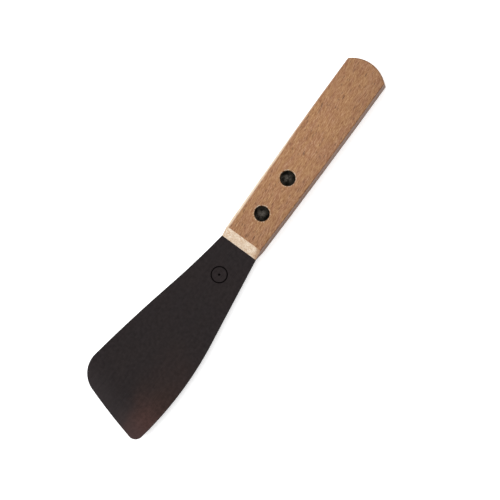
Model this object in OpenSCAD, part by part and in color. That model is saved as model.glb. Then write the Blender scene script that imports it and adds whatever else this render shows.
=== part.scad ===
// Ink knife: a flat beech handle with a wide, springy steel blade riveted into a sawn slot.
// Units are millimetres. +X runs along the handle towards the blade's tip, and +Z is up.
// The origin is on the handle's underside, on its centre line, halfway along the wood.

/* [Handle] */
// Length of the wood, from the front line to the crown of the butt
handle_len = 117; // [90:1:140]
// Width of the wood at its widest place
handle_w = 23.5; // [23.2:0.1:26]
// Distance of that place behind the middle of the wood
widest_back = 28; // [0:1:40]
// Radius of the slight bow of each long side, seen from above
side_bow_r = 3950; // [3000:50:8000]
// Thickness between the two flat faces
handle_thick = 14; // [10:0.5:18]
// Radius of the butt's arc, seen from above
butt_arc_r = 17.2; // [15:0.1:24]
// Chamfer along the four long edges
long_edge_cut = 0.5; // [0.2:0.1:2]
// Chamfer of the edges around the butt
butt_edge_cut = 0.6; // [0.2:0.1:2]
// Length that each front bevel takes from a flat face
bevel_run = 5.3; // [2:0.1:9]
// Wood left above and below the blade at the front line
front_lip = 0.7; // [0.3:0.1:2]

/* [Blade] */
// Distance from the front line to the tip edge, along the centre line
blade_reach = 109.6; // [95:0.1:125]
// Width of the blade at the front line
neck_w = 21.9; // [16:0.1:21.9]
// Angle at which both edges spread from the centre line at the front line
flare = 8.3; // [6:0.1:9]
// Length of the straight part of the toe side, before its belly begins
toe_straight = 49; // [40:1:55]
// Radius of the belly of the toe side
belly_r = 188; // [170:1:240]
// Length of the hollow part of the heel side
hollow_run = 38; // [25:1:50]
// Radius of that hollow
hollow_r = 485; // [400:5:900]
// Radius of the slight swell between the hollow and the heel corner
swell_r = 850; // [600:5:1500]
// Angle of the tip edge from square, at the centre line
tip_skew = 14.7; // [8:0.1:20]
// Radius of the slight crown along the tip edge
tip_crown_r = 327; // [250:1:600]
// Radius of the large corner on the heel side
heel_corner_r = 14; // [6:0.5:18]
// Radius of the small corner on the toe side
toe_corner_r = 4.5; // [1.5:0.5:8]
// Thickness of the steel in the handle and at the front line
neck_thick = 0.9; // [0.6:0.1:1.5]
// Thickness of the steel at the furthest point of the tip
tip_thick = 0.4; // [0.3:0.1:0.6]

/* [Stamp] */
// Distance from the front line to the centre of the stamped ring
stamp_x = 17.3; // [12:0.1:40]
// Outside diameter of the stamped ring
stamp_d = 9; // [5:0.5:14]
// Width of the stamped line
stamp_line = 0.6; // [0.3:0.1:1]
// Depth of the stamping, in the upper face only
stamp_depth = 0.12; // [0.05:0.01:0.2]

/* [Tang and slot] */
// Length of the tang inside the handle
tang_len = 56; // [50:1:70]
// Width of the tang at its end
tang_end_w = 20; // [14:0.5:20]
// Radius of the tang's end, seen from above
tang_end_r = 18; // [12:1:40]
// Gap between the end of the tang and the bottom of the slot
slot_spare = 2; // [1:0.5:8]

/* [Rivets] */
// Distance of the front rivet behind the front line
front_rivet_back = 21.2; // [15:0.1:25]
// Distance between the two rivets
rivet_pitch = 22.6; // [16:0.1:24]
// Diameter of the rivet heads
head_d = 8; // [6.5:0.1:9]
// Height of the dome on each head
dome_rise = 0.6; // [0.3:0.1:1]
// Height of the straight rim below each dome
rim_h = 0.5; // [0.3:0.1:1.2]
// Depth of each dome's crown below the face of the wood
crown_sink = 0.1; // [0.05:0.05:0.5]
// Outside diameter of the hollow rivet halves
barrel_d = 5; // [4.2:0.1:5.4]
// Diameter of the solid pins pressed into them
pin_d = 3; // [2:0.1:3.4]

/* [Hidden] */
$fn = 96;
front_x = handle_len / 2;
butt_x = -handle_len / 2;
mid_z = handle_thick / 2;
reach_past = 5;
// Each long side is four flats with their corners on the bow. Three equal steps reach the front line.
bow_step = asin((front_x + widest_back) / side_bow_r) / 3;
flat_r = side_bow_r * cos(bow_step / 2);
bow_turns = [for (i = [-1:2:5]) i * bow_step / 2];
// Each arc runs this far proud of the next one, so that the two cross and never only touch.
bite = 0.01;

// Outline of the blade in its own plane: X from the front line, Y towards the toe side.
half_neck = neck_w / 2;
heel_start = [0, -half_neck];
hollow_c = heel_start - hollow_r * [sin(flare), cos(flare)];
hollow_end = [hollow_run, hollow_c[1] + sqrt(hollow_r * hollow_r - pow(hollow_run - hollow_c[0], 2))];
swell_c = hollow_end + swell_r * unit(hollow_end - hollow_c);
belly_start = [toe_straight, half_neck + toe_straight * tan(flare)];
belly_c = belly_start + belly_r * [sin(flare), -cos(flare)];
belly_from = belly_c + belly_r * [-sin(flare + 1.5), cos(flare + 1.5)];
tip_c = [blade_reach - tip_crown_r * cos(tip_skew), tip_crown_r * sin(tip_skew)];
heel_c = circles_meet(swell_c, swell_r - heel_corner_r, tip_c, tip_crown_r - heel_corner_r);
toe_c = circles_meet(tip_c, tip_crown_r - toe_corner_r, belly_c, belly_r - toe_corner_r);
swell_end = on_circle(swell_c, swell_r, heel_c);
tip_heel = on_circle(tip_c, tip_crown_r, heel_c);
tip_toe = on_circle(tip_c, tip_crown_r, toe_c);
belly_end = on_circle(belly_c, belly_r, toe_c);
tip_x = toe_c[0] + toe_corner_r;

// Rivets: every height is measured from the face of the wood, downwards.
rivet_x = [front_x - front_rivet_back, front_x - front_rivet_back - rivet_pitch];
head_r = head_d / 2;
dome_r = (head_r * head_r + dome_rise * dome_rise) / (2 * dome_rise);
seat_depth = crown_sink + dome_rise + rim_h;
between_seats = handle_thick - 2 * seat_depth;
barrel_len = between_seats - 0.6;
pin_len = between_seats - 1.6;
bore_len = between_seats - 1;
bore_r = pin_d / 2 + 0.02;
shank_hole_r = barrel_d / 2 + 0.05;
seat_r = head_r + 0.05;
rim_crush = 0.35;

function unit(v) = v / norm(v);

// The point of a circle nearest to a point inside it.
function on_circle(centre, r, p) = centre + r * unit(p - centre);

// Where two circles cross, on the left of the line from the first centre to the second.
function circles_meet(p, a, q, b) =
  let (d = norm(q - p), e = (q - p) / d, along = (a * a - b * b + d * d) / (2 * d))
  p + e * along + [-e[1], e[0]] * sqrt(a * a - along * along);

// Strip along the inside of a flat arc, between two points on it.
module arc_strip(centre, r, from, to) {
  depth = 6;
  out_from = depth * unit(from - centre);
  out_to = depth * unit(to - centre);
  intersection() {
    translate(centre) circle(r);
    polygon([from - out_from, from + out_from, to + out_to, to - out_to]);
  }
}

// Half of the handle's section, chamfered at both corners of its side.
module side_section(width) {
  cut = long_edge_cut;
  top = handle_thick;
  polygon([[-width, 0], [-cut, 0], [0, cut], [0, top - cut], [-cut, top], [-width, top]]);
}

// Long block whose +Y side is the flat at a given turn of the bow.
module side_flat(turn) {
  long = 4 * handle_len;
  at = [flat_r * sin(turn) - widest_back, flat_r * cos(turn) - side_bow_r + handle_w / 2, 0];
  translate(at)
    rotate([0, 0, -turn])
      translate([-long / 2, 0, 0])
        rotate([90, 0, 90])
          linear_extrude(long)
            side_section(2 * handle_w);
}

// The four flats of the +Y side together.
module side_limit() {
  intersection() {
    side_flat(bow_turns[0]);
    side_flat(bow_turns[1]);
    side_flat(bow_turns[2]);
    side_flat(bow_turns[3]);
  }
}

// Round end of the handle, turned from a chamfered section.
module butt_disc() {
  cut = butt_edge_cut;
  rim = butt_arc_r;
  top = handle_thick;
  translate([butt_x + butt_arc_r, 0, 0])
    rotate_extrude()
      polygon([[0, 0], [rim - cut, 0], [rim, cut], [rim, top - cut], [rim - cut, top], [0, top]]);
}

// Everything from the butt's arc forward to the front line.
module length_limit() {
  half_w = handle_w / 2 + 1;
  butt_disc();
  translate([butt_x + butt_arc_r, -half_w, 0])
    cube([handle_len - butt_arc_r, 2 * half_w, handle_thick]);
}

// Wedge taken off the top face at the front.
module bevel_wedge() {
  low = mid_z + neck_thick / 2 + front_lip;
  slope = (handle_thick - low) / bevel_run;
  translate([front_x, 40, 0])
    rotate([90, 0, 0])
      linear_extrude(80)
        polygon([
          [-bevel_run - 1, handle_thick + slope],
          [1, low - slope],
          [1, handle_thick + slope]
        ]);
}

// The same cut on the upper and the lower half.
module both_faces() {
  children();
  translate([0, 0, handle_thick]) mirror([0, 0, 1]) children();
}

// Shank hole, with a seat for the head and a crushed rim at each face.
module rivet_hole() {
  translate([0, 0, -1]) cylinder(h = handle_thick + 2, r = shank_hole_r);
  both_faces() {
    translate([0, 0, handle_thick - seat_depth]) cylinder(h = seat_depth + 1, r = seat_r);
    translate([0, 0, handle_thick - rim_crush]) cylinder(h = 2 * rim_crush, r1 = seat_r, r2 = seat_r + 2 * rim_crush);
  }
}

module handle() {
  slot_len = tang_len + slot_spare;
  color("burlywood")
    difference() {
      intersection() {
        length_limit();
        side_limit();
        mirror([0, 1, 0]) side_limit();
      }
      both_faces() bevel_wedge();
      translate([front_x - slot_len, -20, mid_z - neck_thick / 2])
        cube([slot_len + 1, 40, neck_thick]);
      for (x = rivet_x)
        translate([x, 0, 0]) rivet_hole();
    }
}

// Tang, cut to an arc at its end. Its sides run into the blade's just inside the slot.
module tang_plan() {
  front_half = half_neck - 0.15;
  end_half = tang_end_w / 2;
  polygon_end = tang_len + reach_past;
  intersection() {
    polygon([
      [reach_past / 2, -front_half],
      [reach_past / 2, front_half],
      [0, front_half],
      [-polygon_end, end_half],
      [-polygon_end, -end_half],
      [0, -front_half]
    ]);
    union() {
      translate([tang_end_r - tang_len, 0]) circle(tang_end_r);
      translate([tang_end_r - tang_len, -neck_w]) square([tang_len, 2 * neck_w]);
    }
  }
}

// Outline of the free blade, drawn a little way back into the slot.
module paddle_plan() {
  difference() {
    union() {
      polygon([
        [-reach_past, -2 * neck_w],
        [hollow_run, -2 * neck_w],
        hollow_end,
        swell_end,
        tip_heel,
        tip_toe,
        belly_end,
        belly_start - [0, bite],
        [-reach_past, half_neck - reach_past * tan(flare) - bite]
      ]);
      arc_strip(swell_c, swell_r, hollow_end, swell_end);
      arc_strip(tip_c, tip_crown_r, tip_heel, tip_toe);
      arc_strip(belly_c, belly_r, belly_end, belly_from);
      translate(heel_c) circle(heel_corner_r + bite);
      translate(toe_c) circle(toe_corner_r + bite);
    }
    translate(hollow_c) circle(hollow_r + bite);
  }
}

// Side view of the steel: even in the handle, then thinner towards the tip.
module thickness_limit() {
  back = tang_len + reach_past;
  thin = (neck_thick - tip_thick) / 2 / tip_x * reach_past;
  far_half = tip_thick / 2 - thin;
  near_half = neck_thick / 2;
  translate([0, 60, 0])
    rotate([90, 0, 0])
      linear_extrude(120)
        polygon([
          [-back, -near_half],
          [0, -near_half],
          [tip_x + reach_past, -far_half],
          [tip_x + reach_past, far_half],
          [0, near_half],
          [-back, near_half]
        ]);
}

// Plain ring around a dot, sunk into the upper face.
module stamp() {
  face_z = neck_thick / 2 - (neck_thick - tip_thick) / 2 * stamp_x / tip_x;
  translate([stamp_x, 0, face_z - stamp_depth]) {
    difference() {
      cylinder(h = 1, d = stamp_d);
      translate([0, 0, -1]) cylinder(h = 3, d = stamp_d - 2 * stamp_line);
    }
    cylinder(h = 1, d = 2 * stamp_line);
  }
}

module blade() {
  color("dimgray")
    translate([front_x, 0, mid_z])
      difference() {
        intersection() {
          translate([0, 0, -2])
            linear_extrude(4) {
              tang_plan();
              paddle_plan();
            }
          thickness_limit();
        }
        stamp();
        for (x = rivet_x)
          translate([x - front_x, 0, -2]) cylinder(h = 4, r = shank_hole_r);
      }
}

// Domed head, with its crown just below the top face of the wood.
module head() {
  crown_z = handle_thick - crown_sink;
  intersection() {
    translate([0, 0, handle_thick - seat_depth]) cylinder(h = seat_depth, r = head_r);
    translate([0, 0, crown_z - dome_r]) sphere(dome_r);
  }
}

// Solid half of a rivet: head and pin, standing in the upper seat.
module stud() {
  tip_z = handle_thick - seat_depth - pin_len;
  pin_r = pin_d / 2;
  chamfer = 0.3;
  color("darkslategray") {
    head();
    rotate_extrude()
      polygon([
        [0, tip_z],
        [pin_r - chamfer, tip_z],
        [pin_r, tip_z + chamfer],
        [pin_r, handle_thick - seat_depth + rim_h / 2],
        [0, handle_thick - seat_depth + rim_h / 2]
      ]);
  }
}

// Hollow half of a rivet: head and barrel, standing in the lower seat.
module cap() {
  mouth_z = seat_depth + barrel_len;
  outer_r = barrel_d / 2;
  lead = 0.25;
  color("slategray") {
    translate([0, 0, handle_thick]) mirror([0, 0, 1]) head();
    rotate_extrude()
      polygon([
        [0, seat_depth - rim_h / 2],
        [outer_r, seat_depth - rim_h / 2],
        [outer_r, mouth_z],
        [bore_r + lead, mouth_z],
        [bore_r, mouth_z - lead],
        [bore_r, mouth_z - bore_len],
        [0, mouth_z - bore_len]
      ]);
  }
}

module front_rivet_stud() {
  translate([rivet_x[0], 0, 0]) stud();
}

module front_rivet_cap() {
  translate([rivet_x[0], 0, 0]) cap();
}

module rear_rivet_stud() {
  translate([rivet_x[1], 0, 0]) stud();
}

module rear_rivet_cap() {
  translate([rivet_x[1], 0, 0]) cap();
}

handle();
blade();
front_rivet_stud();
front_rivet_cap();
rear_rivet_stud();
rear_rivet_cap();
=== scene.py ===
import math

import bmesh
import bpy
from mathutils import Matrix, Vector


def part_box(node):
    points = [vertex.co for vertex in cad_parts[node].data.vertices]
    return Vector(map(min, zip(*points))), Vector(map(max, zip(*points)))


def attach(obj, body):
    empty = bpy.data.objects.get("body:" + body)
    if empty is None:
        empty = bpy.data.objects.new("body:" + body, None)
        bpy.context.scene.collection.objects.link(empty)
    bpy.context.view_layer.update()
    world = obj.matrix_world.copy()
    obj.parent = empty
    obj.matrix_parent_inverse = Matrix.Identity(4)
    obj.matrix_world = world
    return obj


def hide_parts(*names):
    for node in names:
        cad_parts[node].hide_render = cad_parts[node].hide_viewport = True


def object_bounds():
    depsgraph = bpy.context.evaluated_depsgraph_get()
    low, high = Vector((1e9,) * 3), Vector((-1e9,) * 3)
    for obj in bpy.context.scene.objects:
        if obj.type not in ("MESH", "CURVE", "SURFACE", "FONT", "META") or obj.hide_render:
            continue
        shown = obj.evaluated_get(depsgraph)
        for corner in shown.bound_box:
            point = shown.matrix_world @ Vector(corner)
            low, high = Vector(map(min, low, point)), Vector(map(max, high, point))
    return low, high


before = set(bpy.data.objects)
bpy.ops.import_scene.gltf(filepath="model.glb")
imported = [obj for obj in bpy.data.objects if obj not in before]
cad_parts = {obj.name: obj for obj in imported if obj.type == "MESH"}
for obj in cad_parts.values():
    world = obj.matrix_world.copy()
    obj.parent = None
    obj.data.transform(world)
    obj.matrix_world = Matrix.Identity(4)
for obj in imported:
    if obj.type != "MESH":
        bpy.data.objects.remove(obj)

CAD_LOW, CAD_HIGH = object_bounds()
MM = 0.001

# ---------------------------------------------------------------- places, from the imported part
handle_lo, handle_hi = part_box("handle")
_, blade_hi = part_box("blade")
FRONT = handle_hi.x / MM
BUTT = handle_lo.x / MM
TOP = handle_hi.z / MM
MID = TOP / 2
TIP = blade_hi.x / MM
RIVETS = []
for stud_name in ("front_rivet_stud", "rear_rivet_stud"):
    lo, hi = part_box(stud_name)
    RIVETS.append(((lo.x + hi.x) / 2 / MM, (lo.y + hi.y) / 2 / MM))
HEAD_R = (hi.x - lo.x) / 2 / MM
# The sides bow slightly: the wood's half widths at its widest place and at the front line, and where
# it is widest.
wood_points = [v.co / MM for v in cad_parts["handle"].data.vertices]
WIDE_HALF = handle_hi.y / MM
FRONT_HALF = max(p.y for p in wood_points if p.x > FRONT - 0.5)
WIDEST = max(wood_points, key=lambda p: p.y).x
# The stamped ring, as the CAD source places it.
STAMP_X = FRONT + 17.3
STAMP_OUTER = 4.5
STAMP_LINE = 0.6
# How far the tip edge runs forward for each millimetre towards +Y.
TIP_SLOPE = 0.262
# How far the crisp edges are eased, in millimetres, and in how many steps.
HANDLE_EDGE = 0.22
BLADE_EDGE = 0.1
EDGE_STEPS = 3

# Linear colours that the materials use by name.
FLECK_BROWN = (0.072, 0.026, 0.010)
VEIN_TAN = (0.410, 0.240, 0.130)
BARE_STEEL = (0.20, 0.19, 0.185)
DEEP_OXIDE = (0.0015, 0.0013, 0.0013)


# ---------------------------------------------------------------- node helpers
class Tree:
    """A material's node tree, with short calls for the nodes used here."""

    def __init__(self, name):
        self.mat = bpy.data.materials.new(name)
        self.mat.use_nodes = True
        self.nt = self.mat.node_tree
        self.nt.nodes.clear()
        self.out = self.add("ShaderNodeOutputMaterial")
        self.bsdf = self.add("ShaderNodeBsdfPrincipled")
        self.nt.links.new(self.bsdf.outputs[0], self.out.inputs[0])
        coords = self.add("ShaderNodeTexCoord").outputs["Object"]
        self.mm = self.vec("MULTIPLY", coords, (1 / MM, 1 / MM, 1 / MM))

    def add(self, kind, **props):
        n = self.nt.nodes.new(kind)
        for k, v in props.items():
            setattr(n, k, v)
        return n

    def put(self, socket, value):
        if isinstance(value, bpy.types.NodeSocket):
            self.nt.links.new(value, socket)
        else:
            socket.default_value = value

    def math(self, op, a, b=0.0, clamp=False):
        n = self.add("ShaderNodeMath", operation=op, use_clamp=clamp)
        for i, v in enumerate((a, b)):
            self.put(n.inputs[i], v)
        return n.outputs[0]

    def vec(self, op, a, b=(0, 0, 0)):
        n = self.add("ShaderNodeVectorMath", operation=op)
        self.put(n.inputs[0], a)
        self.put(n.inputs[1], b)
        return n.outputs["Value" if op in ("LENGTH", "DOT_PRODUCT", "DISTANCE") else "Vector"]

    def xyz(self, v):
        n = self.add("ShaderNodeSeparateXYZ")
        self.put(n.inputs[0], v)
        return n.outputs

    def join(self, x, y, z):
        n = self.add("ShaderNodeCombineXYZ")
        for i, v in enumerate((x, y, z)):
            self.put(n.inputs[i], v)
        return n.outputs[0]

    def turn(self, v, angles=(0, 0, 0), scale=(1, 1, 1), shift=(0, 0, 0)):
        n = self.add("ShaderNodeMapping")
        self.put(n.inputs["Vector"], v)
        n.inputs["Location"].default_value = shift
        n.inputs["Rotation"].default_value = [math.radians(a) for a in angles]
        n.inputs["Scale"].default_value = scale
        return n.outputs[0]

    def noise(self, v, scale=1.0, detail=3.0, rough=0.5, distortion=0.0, colour=False):
        n = self.add("ShaderNodeTexNoise", noise_dimensions="3D")
        self.put(n.inputs["Vector"], v)
        n.inputs["Scale"].default_value = scale
        n.inputs["Detail"].default_value = detail
        n.inputs["Roughness"].default_value = rough
        n.inputs["Distortion"].default_value = distortion
        return n.outputs["Color" if colour else "Fac"]

    def cells(self, v):
        n = self.add("ShaderNodeTexVoronoi", feature="F1")
        self.put(n.inputs["Vector"], v)
        n.inputs["Scale"].default_value = 1.0
        return n

    def span(self, value, low, high, out_low=0.0, out_high=1.0, smooth=True):
        n = self.add("ShaderNodeMapRange", interpolation_type="SMOOTHSTEP" if smooth else "LINEAR")
        names = ("Value", "From Min", "From Max", "To Min", "To Max")
        for socket, v in zip(names, (value, low, high, out_low, out_high)):
            self.put(n.inputs[socket], v)
        return n.outputs[0]

    def mix(self, fac, a, b):
        n = self.add("ShaderNodeMix", data_type="RGBA", blend_type="MIX")
        self.put(n.inputs["Factor"], fac)
        self.put(n.inputs["A"], a if isinstance(a, bpy.types.NodeSocket) else (*a, 1))
        self.put(n.inputs["B"], b if isinstance(b, bpy.types.NodeSocket) else (*b, 1))
        return n.outputs["Result"]

    def scale_colour(self, colour, value):
        """The colour times a grey value that may pass 1."""
        n = self.add("ShaderNodeVectorMath", operation="SCALE")
        self.put(n.inputs[0], colour)
        self.put(n.inputs["Scale"], value)
        return n.outputs[0]

    def ramp(self, fac, stops):
        n = self.add("ShaderNodeValToRGB")
        els = n.color_ramp.elements
        while len(els) < len(stops):
            els.new(0.5)
        for e, (at, colour) in zip(els, stops):
            e.position = at
            e.color = (*colour, 1)
        self.put(n.inputs[0], fac)
        return n.outputs[0]

    def bump(self, height, distance, strength):
        """height is in units of distance, which is in millimetres."""
        n = self.add("ShaderNodeBump")
        self.put(n.inputs["Height"], height)
        n.inputs["Distance"].default_value = distance * MM
        n.inputs["Strength"].default_value = strength
        return n.outputs[0]

    def from_axis(self, cx, cy):
        """The distance from an upright axis, in millimetres."""
        x, y, _ = self.xyz(self.mm)
        return self.vec("LENGTH", self.join(self.math("SUBTRACT", x, cx), self.math("SUBTRACT", y, cy), 0.0))

    def from_rivet(self):
        """The distance from the nearer rivet's axis, in millimetres."""
        front, rear = (self.from_axis(cx, cy) for cx, cy in RIVETS)
        return self.math("MINIMUM", front, rear)

    def near_rivets(self, inner, outer):
        """1 between two distances from either rivet's axis, 0 elsewhere."""
        d = self.from_rivet()
        past_inner = self.span(d, inner - 0.08, inner + 0.08)
        inside_outer = self.span(d, outer - 0.35, outer + 0.25, 1, 0)
        return self.math("MULTIPLY", past_inner, inside_outer)


# ---------------------------------------------------------------- materials
def beech():
    """Finished beech with fine flecks along the grain, pale unfinished wood on the cut bevels, a pale ring
    round each rivet, painted shade on the narrow sides and the +Y half, and a painted highlight along the -Y
    rim.
    """
    t = Tree("beech")
    x, y, z = t.xyz(t.mm)
    normal = t.xyz(t.add("ShaderNodeNewGeometry").outputs["Normal"])

    # The grain runs a few degrees off the handle's axis and wanders a little.
    grain = t.turn(t.mm, angles=(0, 1.5, -7))
    drift = t.noise(t.turn(grain, scale=(0.035, 0.10, 0.10)), detail=2, colour=True)
    wander = t.vec("SUBTRACT", drift, (0.5, 0.5, 0.5))
    grain = t.vec("ADD", grain, t.vec("MULTIPLY", wander, (0, 3.4, 3.4)))

    broad = t.noise(t.turn(grain, scale=(0.03, 0.15, 0.12), shift=(3.1, 0.4, 7)), detail=3, rough=0.55)
    hue = t.noise(t.turn(grain, scale=(0.11, 0.30, 0.30), shift=(8, 2, 1)), detail=3, rough=0.6)
    fibre = t.noise(t.turn(grain, scale=(0.15, 1.35, 1.35)), detail=3, rough=0.55)
    fine = t.noise(t.turn(grain, scale=(0.20, 2.6, 2.6), shift=(9, 1, 4)), detail=3, rough=0.6)
    pores = t.noise(t.turn(grain, scale=(0.48, 4.8, 4.8), shift=(1, 6, 3)), detail=2, rough=0.6)
    streak = t.noise(t.turn(grain, scale=(0.05, 0.75, 0.75), shift=(0, 11, 5)), detail=4, rough=0.6)
    _, gy, gz = t.xyz(grain)
    from_pith = t.vec("LENGTH", t.join(0.0, t.math("ADD", gy, 9.0), t.math("ADD", gz, 34.0)))
    ring = t.math("FRACT", t.math("MULTIPLY", t.math("ADD", from_pith, t.math("MULTIPLY", broad, 2.4)), 0.36))
    ring = t.math("POWER", ring, 3.0)

    def flecks(length, width, size, shift, share):
        """Spindle-shaped dark rays, one to a cell, in a share of the cells."""
        v = t.cells(t.turn(grain, scale=(1 / length, 1 / width, 1 / width), shift=shift))
        chance = t.xyz(v.outputs["Color"])[0]
        inside = t.span(v.outputs["Distance"], size * 0.45, size, 1, 0)
        return t.math("MULTIPLY", inside, t.span(chance, share, share * 0.4))

    small = flecks(4.2, 0.9, 0.29, (0, 0, 0), 0.70)
    large = flecks(8.5, 1.5, 0.22, (5.3, 2.2, 8.8), 0.60)
    long = flecks(24.0, 2.2, 0.15, (2.3, 7.2, 1.8), 0.6)
    fleck = t.math("MAXIMUM", t.math("MULTIPLY", small, 0.8), large)
    fleck = t.math("MAXIMUM", fleck, t.math("MULTIPLY", long, 0.8))

    # Darker fibres are more saturated than the pale ones.
    tone = t.span(fibre, 0.3, 0.7, -0.06, 0.06, False)
    tone = t.math("ADD", tone, t.span(fine, 0.3, 0.7, -0.26, 0.26, False))
    tone = t.math("ADD", tone, t.span(pores, 0.3, 0.7, -0.46, 0.46, False))
    tone = t.math("ADD", tone, t.span(broad, 0.3, 0.7, -0.02, 0.02, False))
    tone = t.math("SUBTRACT", t.math("ADD", tone, 0.53), t.math("MULTIPLY", ring, 0.03))
    finished = t.ramp(
        tone, [(0.0, (0.142, 0.043, 0.010)), (0.5, (0.258, 0.113, 0.046)), (1.0, (0.396, 0.226, 0.124))]
    )
    ochre = t.ramp(tone, [(0.0, (0.155, 0.049, 0.006)), (1.0, (0.418, 0.236, 0.090))])
    finished = t.mix(t.span(hue, 0.36, 0.62, 0.0, 0.50), finished, ochre)
    finished = t.mix(t.math("MULTIPLY", fleck, 0.86), finished, FLECK_BROWN)
    # Painted shade: the narrow sides and the +Y half are darkened as if the lamps left them in shade. The
    # wood towards the front and towards the butt is also made a little darker.
    side_shade = t.span(t.math("ABSOLUTE", normal[1]), 0.55, 0.9)
    finished = t.mix(side_shade, finished, t.vec("MULTIPLY", finished, (0.60, 0.505, 0.47)))
    finished = t.scale_colour(finished, t.span(x, FRONT - 48, FRONT - 10, 1.0, 0.94))
    finished = t.scale_colour(finished, t.span(x, BUTT, BUTT + 40, 0.92, 1.0))
    # Painted shade: the +Y half, away from the key lamp, is made darker.
    finished = t.scale_colour(finished, t.span(y, 0, WIDE_HALF, 1.0, 0.92))

    # Bare wood: cream with orange clouds and thin veins on the bevels, and long pale fibres elsewhere; the
    # same colour makes the painted highlight along the -Y rim.
    bevel = t.math("MULTIPLY", t.span(normal[0], 0.30, 0.55), t.span(x, FRONT - 7.5, FRONT - 6.0))
    curl = t.turn(t.mm, scale=(0.42, 0.42, 0.42), shift=(4, 9, 2))
    curl = t.noise(curl, detail=4, rough=0.58, distortion=1.2)
    drawn = t.noise(t.turn(grain, scale=(0.10, 0.70, 0.70), shift=(6, 2, 9)), detail=4, rough=0.6)
    elsewhere = t.math("MULTIPLY", drawn, t.math("SUBTRACT", 1.0, bevel))
    cloud = t.math("ADD", t.math("MULTIPLY", curl, bevel), elsewhere)
    bare_and_lit_colour = t.ramp(
        cloud, [(0.30, (0.500, 0.350, 0.230)), (0.45, (0.610, 0.485, 0.360)), (0.62, (0.690, 0.590, 0.475))]
    )
    bare_and_lit_colour = t.scale_colour(bare_and_lit_colour, t.span(fine, 0.3, 0.7, 0.93, 1.05, False))
    wave = t.turn(t.mm, scale=(0.34, 0.34, 0.34), shift=(7, 3, 5))
    wave = t.noise(wave, detail=2, rough=0.5, distortion=2.6)
    vein = t.span(t.math("ABSOLUTE", t.math("SUBTRACT", wave, 0.5)), 0.0, 0.042, 1, 0)
    bare_and_lit_colour = t.mix(t.math("MULTIPLY", t.math("MULTIPLY", vein, bevel), 0.85), bare_and_lit_colour, VEIN_TAN)
    bare_and_lit_colour = t.mix(t.math("MULTIPLY", fleck, 0.25), bare_and_lit_colour, (0.31, 0.18, 0.10))

    along = t.math("DIVIDE", t.math("SUBTRACT", x, WIDEST), FRONT - WIDEST)
    narrowing = t.math("MULTIPLY", t.math("MULTIPLY", along, along), WIDE_HALF - FRONT_HALF)
    half = t.math("SUBTRACT", WIDE_HALF, narrowing)
    # The bevels' +Y end keeps the darker finished colour in a strip that narrows towards the front line.
    strip = t.math("ADD", t.math("MULTIPLY", t.math("SUBTRACT", FRONT, x), 0.30), 0.50)
    ragged = t.math("MULTIPLY", t.math("SUBTRACT", curl, 0.5), 1.6)
    corner = t.math("ADD", t.math("SUBTRACT", half, y), ragged)
    bevel = t.math("MULTIPLY", bevel, t.span(t.math("SUBTRACT", corner, strip), -1.0, 1.6, 0.25, 1))
    # Painted highlight: a pale rim along the long edges of the -Y side, where the key lamp shines, wider and
    # stronger towards the front.
    depth = t.math("MINIMUM", t.math("SUBTRACT", TOP, z), z)
    from_edge = t.math("ADD", t.math("MAXIMUM", t.math("ADD", half, y), 0.0), depth)
    uneven = t.math("MULTIPLY", t.math("SUBTRACT", streak, 0.5), 1.1)
    reach = t.math("ADD", t.span(x, BUTT + 20, FRONT - 10, 0.90, 1.58), uneven)
    edge = t.math("SUBTRACT", 1.0, t.math("DIVIDE", from_edge, reach), clamp=True)
    edge = t.math("MULTIPLY", t.span(edge, 0.0, 0.55), t.span(x, BUTT + 12, FRONT - 32, 0.08, 0.95))
    chip = t.noise(t.mm, scale=1.1, detail=3, rough=0.65)
    # A pale, broken ring round each rivet head.
    pale_ring = t.near_rivets(HEAD_R + 0.08, HEAD_R + 0.6)
    pale_ring = t.math("MULTIPLY", pale_ring, t.span(chip, 0.42, 0.62, 0.0, 0.80))
    # One mask for the bare bevels, the pale rings and the painted highlight on the -Y rim.
    bare_and_lit_mask = t.math("MAXIMUM", t.math("MAXIMUM", bevel, edge), pale_ring)
    colour = t.mix(bare_and_lit_mask, finished, bare_and_lit_colour)

    t.put(t.bsdf.inputs["Base Color"], colour)

    rough = t.math("ADD", t.span(fibre, 0.3, 0.7, 0.50, 0.62, False), t.math("MULTIPLY", bare_and_lit_mask, 0.14))
    t.put(t.bsdf.inputs["Roughness"], rough)
    t.bsdf.inputs["Specular IOR Level"].default_value = 0.3
    height = t.math("ADD", t.math("MULTIPLY", fibre, 0.5), t.math("MULTIPLY", pores, 0.3))
    height = t.math("ADD", height, t.math("MULTIPLY", fine, 0.3))
    height = t.math("SUBTRACT", height, t.math("MULTIPLY", fleck, 0.6))
    t.put(t.bsdf.inputs["Normal"], t.bump(height, 0.06, 0.8))
    return t.mat


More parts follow.
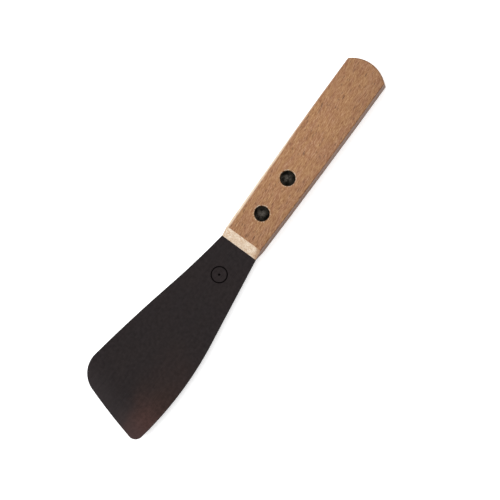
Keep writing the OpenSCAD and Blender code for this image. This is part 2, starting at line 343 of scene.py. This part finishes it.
def dark_steel():
    """Blackened spring steel: fine lengthwise lines, cloudy oxide, a warm temper tint, and worn edges."""
    t = Tree("blackened_steel")
    x, y, z = t.xyz(t.mm)
    normal = t.xyz(t.add("ShaderNodeNewGeometry").outputs["Normal"])

    lines = t.noise(t.turn(t.mm, scale=(0.05, 4.2, 4.2)), detail=5, rough=0.7)
    cloud = t.noise(t.turn(t.mm, scale=(0.05, 0.075, 0.075), shift=(2, 4, 0)), detail=6, rough=0.58)
    mottle = t.noise(t.mm, scale=0.55, detail=6, rough=0.66)
    grit = t.noise(t.mm, scale=3.4, detail=3, rough=0.6)

    base = t.ramp(
        cloud,
        [(0.32, (0.0112, 0.0094, 0.0096)), (0.5, (0.0122, 0.0100, 0.0101)), (0.7, (0.0140, 0.0114, 0.0113))],
    )
    along = t.span(t.math("ADD", x, t.math("MULTIPLY", cloud, 30)), FRONT + 62, TIP + 10)
    across = t.span(t.math("ADD", y, t.math("MULTIPLY", cloud, 14)), 3, 21)
    warm = t.math("MULTIPLY", along, across)
    base = t.mix(t.math("MULTIPLY", warm, 0.85), base, (0.0215, 0.0132, 0.0113))
    straw = t.span(t.math("ADD", x, t.math("MULTIPLY", mottle, 8)), TIP - 24, TIP + 2)
    straw = t.math("MULTIPLY", straw, across)
    base = t.mix(t.math("MULTIPLY", straw, 0.85), base, (0.038, 0.0200, 0.0180))
    tone = t.span(lines, 0.3, 0.7, -0.20, 0.22, False)
    tone = t.math("ADD", tone, t.span(mottle, 0.3, 0.7, -0.22, 0.22, False))
    base = t.scale_colour(base, t.math("ADD", tone, 1.0))

    # The last centimetre behind the tip edge is lighter.
    skew = t.math("SUBTRACT", x, t.math("MULTIPLY", y, TIP_SLOPE))
    lightened = t.span(t.math("ADD", skew, t.math("MULTIPLY", mottle, 5)), TIP - 14.5, TIP - 1.5)
    lightened = t.math("MULTIPLY", lightened, t.span(lines, 0.25, 0.75, 0.55, 1.0))
    base = t.mix(t.math("MULTIPLY", lightened, 0.5), base, (0.0225, 0.0190, 0.0195))

    # Bare metal shows along the worn edges.
    slope = t.math("ABSOLUTE", normal[2])
    worn = t.math("MULTIPLY", t.span(slope, 0.96, 0.7), t.span(mottle, 0.28, 0.62, 0.45, 1.0))
    worn = t.math("MULTIPLY", worn, t.span(x, FRONT - 1, FRONT + 4))
    base = t.mix(t.math("MULTIPLY", worn, 0.8), base, BARE_STEEL)

    # Black oxide sits in the stamped line.
    d = t.from_axis(STAMP_X, 0.0)
    stamp_inner = STAMP_OUTER - STAMP_LINE
    past_inner = t.span(d, stamp_inner - 0.12, stamp_inner + 0.1)
    line = t.math("MULTIPLY", past_inner, t.span(d, STAMP_OUTER - 0.1, STAMP_OUTER + 0.12, 1, 0))
    line = t.math("MAXIMUM", line, t.span(d, STAMP_LINE - 0.1, STAMP_LINE + 0.15, 1, 0))
    line = t.math("MULTIPLY", line, t.span(z, MID, MID + 0.1))
    base = t.mix(t.math("MULTIPLY", line, 0.95), base, DEEP_OXIDE)

    t.put(t.bsdf.inputs["Base Color"], base)
    t.bsdf.inputs["Metallic"].default_value = 1.0
    t.bsdf.inputs["Specular Tint"].default_value = (0.5, 0.5, 0.5, 1)
    rough = t.span(cloud, 0.3, 0.7, 0.42, 0.50, False)
    rough = t.math("ADD", rough, t.span(lines, 0.3, 0.7, -0.03, 0.05, False))
    rough = t.math("ADD", rough, t.math("MULTIPLY", line, 0.2))
    t.put(t.bsdf.inputs["Roughness"], rough)
    clouded = t.math("ADD", t.math("MULTIPLY", grit, 0.3), t.math("MULTIPLY", mottle, 0.6))
    height = t.math("ADD", t.math("MULTIPLY", lines, 0.5), clouded)
    t.put(t.bsdf.inputs["Normal"], t.bump(height, 0.02, 0.55))
    return t.mat


def rivet_steel():
    """Blackened rivet steel with fine pitting, and painted highlight patches that are brightest on the crown.
    """
    t = Tree("rivet_steel")
    mottle = t.noise(t.mm, scale=0.5, detail=5, rough=0.62)
    pits = t.noise(t.mm, scale=3.0, detail=4, rough=0.65)
    # Painted highlight: lighter patches on the crown stand in for the lamps' reflection in the dome.
    crown = t.span(t.math("ADD", t.from_rivet(), t.math("MULTIPLY", mottle, 3.0)), 4.6, 2.2)
    base = t.ramp(mottle, [(0.43, (0.0026, 0.0023, 0.0019)), (0.59, (0.0125, 0.0108, 0.0088))])
    lightened = t.math("MULTIPLY", crown, t.span(mottle, 0.43, 0.58, 0.08, 1.0))
    base = t.mix(lightened, base, (0.0335, 0.0298, 0.0255))
    base = t.scale_colour(base, t.span(pits, 0.3, 0.7, 0.50, 1.45, False))
    t.put(t.bsdf.inputs["Base Color"], base)
    t.bsdf.inputs["Metallic"].default_value = 1.0
    t.bsdf.inputs["Specular Tint"].default_value = (0.5, 0.5, 0.5, 1)
    t.put(t.bsdf.inputs["Roughness"], t.span(mottle, 0.3, 0.7, 0.32, 0.46, False))
    t.put(t.bsdf.inputs["Normal"], t.bump(t.math("ADD", t.math("MULTIPLY", pits, 0.6), mottle), 0.08, 0.6))
    return t.mat


# ---------------------------------------------------------------- meshes
def softened(node, name, width, wanted):
    """A copy of a CAD node with its crisp edges rounded over where wanted(edge) says so."""
    bm = bmesh.new()
    bm.from_mesh(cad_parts[node].data)
    bmesh.ops.remove_doubles(bm, verts=bm.verts, dist=2e-6)
    bmesh.ops.dissolve_limit(bm, angle_limit=math.radians(0.05), verts=bm.verts, edges=bm.edges)
    edges = [e for e in bm.edges if e.is_manifold and e.calc_face_angle() > math.radians(14) and wanted(e)]
    bmesh.ops.bevel(
        bm, geom=edges, offset=width * MM, offset_type="OFFSET", segments=EDGE_STEPS, profile=0.5,
        affect="EDGES", clamp_overlap=True,
    )
    lo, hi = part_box(node)
    for v in bm.verts:
        v.co = [min(max(c, a), b) for c, a, b in zip(v.co, lo, hi)]
    mesh = bpy.data.meshes.new(name)
    bm.to_mesh(mesh)
    bm.free()
    obj = bpy.data.objects.new(name, mesh)
    bpy.context.scene.collection.objects.link(obj)
    mesh.polygons.foreach_set("use_smooth", [True] * len(mesh.polygons))
    mesh.set_sharp_from_angle(angle=math.radians(32))
    weighted = obj.modifiers.new("weighted", "WEIGHTED_NORMAL")
    weighted.keep_sharp = True
    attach(obj, "root")
    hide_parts(node)
    return obj


def clear_of_rivets(e):
    mid = (e.verts[0].co + e.verts[1].co) / 2 / MM
    return all(math.hypot(mid.x - cx, mid.y - cy) > HEAD_R + 1.2 for cx, cy in RIVETS)


def outside_slot(e):
    """Not one of the edges deep in the slot."""
    points = [v.co / MM for v in e.verts]
    return not all(abs(p.z - MID) < 0.6 and p.x < FRONT - 20 and abs(p.y) < 10 for p in points)


def on_outline(e):
    """On the blade's outline, and not on its stamp or its rivet holes."""
    mid = (e.verts[0].co + e.verts[1].co) / 2 / MM
    return clear_of_rivets(e) and math.hypot(mid.x - STAMP_X, mid.y) > STAMP_OUTER + 0.3


wood = beech()
steel = dark_steel()
rivet = rivet_steel()

handle = softened("handle", "wooden_handle", HANDLE_EDGE, lambda e: clear_of_rivets(e) and outside_slot(e))
handle.data.materials.clear()
handle.data.materials.append(wood)

blade = softened("blade", "steel_blade", BLADE_EDGE, on_outline)
blade.data.materials.clear()
blade.data.materials.append(steel)

for name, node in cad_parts.items():
    if "rivet" in name:
        node.material_slots[0].link = "OBJECT"
        node.material_slots[0].material = rivet

# ---------------------------------------------------------------- floor, light and camera
centre = (CAD_LOW + CAD_HIGH) / 2
FLOOR_HALF = 6
FLOOR_GAP = 0.0002

bm = bmesh.new()
bmesh.ops.create_grid(bm, x_segments=8, y_segments=8, size=FLOOR_HALF)
floor_mesh = bpy.data.meshes.new("floor")
bm.to_mesh(floor_mesh)
bm.free()
floor = bpy.data.objects.new("floor", floor_mesh)
floor.location = (0, 0, CAD_LOW.z - FLOOR_GAP)
bpy.context.scene.collection.objects.link(floor)
# A light table: white, and glowing enough to keep the shadows faint.
paper = Tree("pale_floor")
speck = paper.noise(paper.mm, scale=0.02, detail=3)
tint = paper.ramp(speck, [(0.3, (0.88, 0.88, 0.88)), (0.7, (0.90, 0.90, 0.90))])
paper.put(paper.bsdf.inputs["Base Color"], tint)
paper.bsdf.inputs["Roughness"].default_value = 0.9
paper.bsdf.inputs["Specular IOR Level"].default_value = 0.1
paper.bsdf.inputs["Emission Color"].default_value = (1, 1, 1, 1)
paper.bsdf.inputs["Emission Strength"].default_value = 0.42
floor_mesh.materials.append(paper.mat)

world = bpy.data.worlds.new("studio")
world.use_nodes = True
sky = world.node_tree.nodes["Background"]
sky.inputs["Color"].default_value = (1.0, 1.0, 1.0, 1)
sky.inputs["Strength"].default_value = 0.45
bpy.context.scene.world = world

# The camera looks down from a little to the +Y side. CAMERA_TURN sets how the knife lies across the picture.
CAMERA_TURN = math.radians(126.15)
CAMERA_TILT = math.radians(7)
tilted = Matrix.Rotation(-CAMERA_TILT, 4, "X") @ Matrix.Rotation(CAMERA_TURN, 4, "Z")
right = (tilted @ Vector((1, 0, 0))).to_2d().to_3d().normalized()
up = (tilted @ Vector((0, 1, 0))).to_2d().to_3d().normalized()


def lamp(name, where, size, power, target):
    data = bpy.data.lights.new(name, "AREA")
    data.shape = "DISK"
    data.size = size
    data.energy = power
    obj = bpy.data.objects.new(name, data)
    obj.location = where
    obj.rotation_mode = "QUATERNION"
    obj.rotation_quaternion = (Vector(where) - target).to_track_quat("Z", "Y")
    obj.visible_camera = False
    bpy.context.scene.collection.objects.link(obj)
    return obj


lamp("key", centre - right * 0.95 - up * 0.15 + Vector((0, 0, 0.9)), 0.6, 10.2, centre)
lamp("top", centre + up * 0.2 + Vector((0, 0, 1.5)), 1.4, 16, centre)

cam_data = bpy.data.cameras.new("camera")
cam_data.lens = 200
cam_data.sensor_width = 36
camera = bpy.data.objects.new("camera", cam_data)
# The width of the picture at the knife, and the place at its centre: behind the front line and to +Y.
VIEW_WIDTH = 0.259
AIM_BACK = 0.00243
AIM_SIDE = 0.00534
aim = Vector((FRONT * MM - AIM_BACK, AIM_SIDE, MID * MM))
away = tilted @ Vector((0, 0, VIEW_WIDTH / cam_data.sensor_width * cam_data.lens))
camera.matrix_world = Matrix.Translation(aim + away) @ tilted
cam_data.clip_start, cam_data.clip_end = 0.05, 50
bpy.context.scene.collection.objects.link(camera)
bpy.context.scene.camera = camera
bpy.context.scene.view_settings.view_transform = "Standard"

bpy.context.view_layer.update()
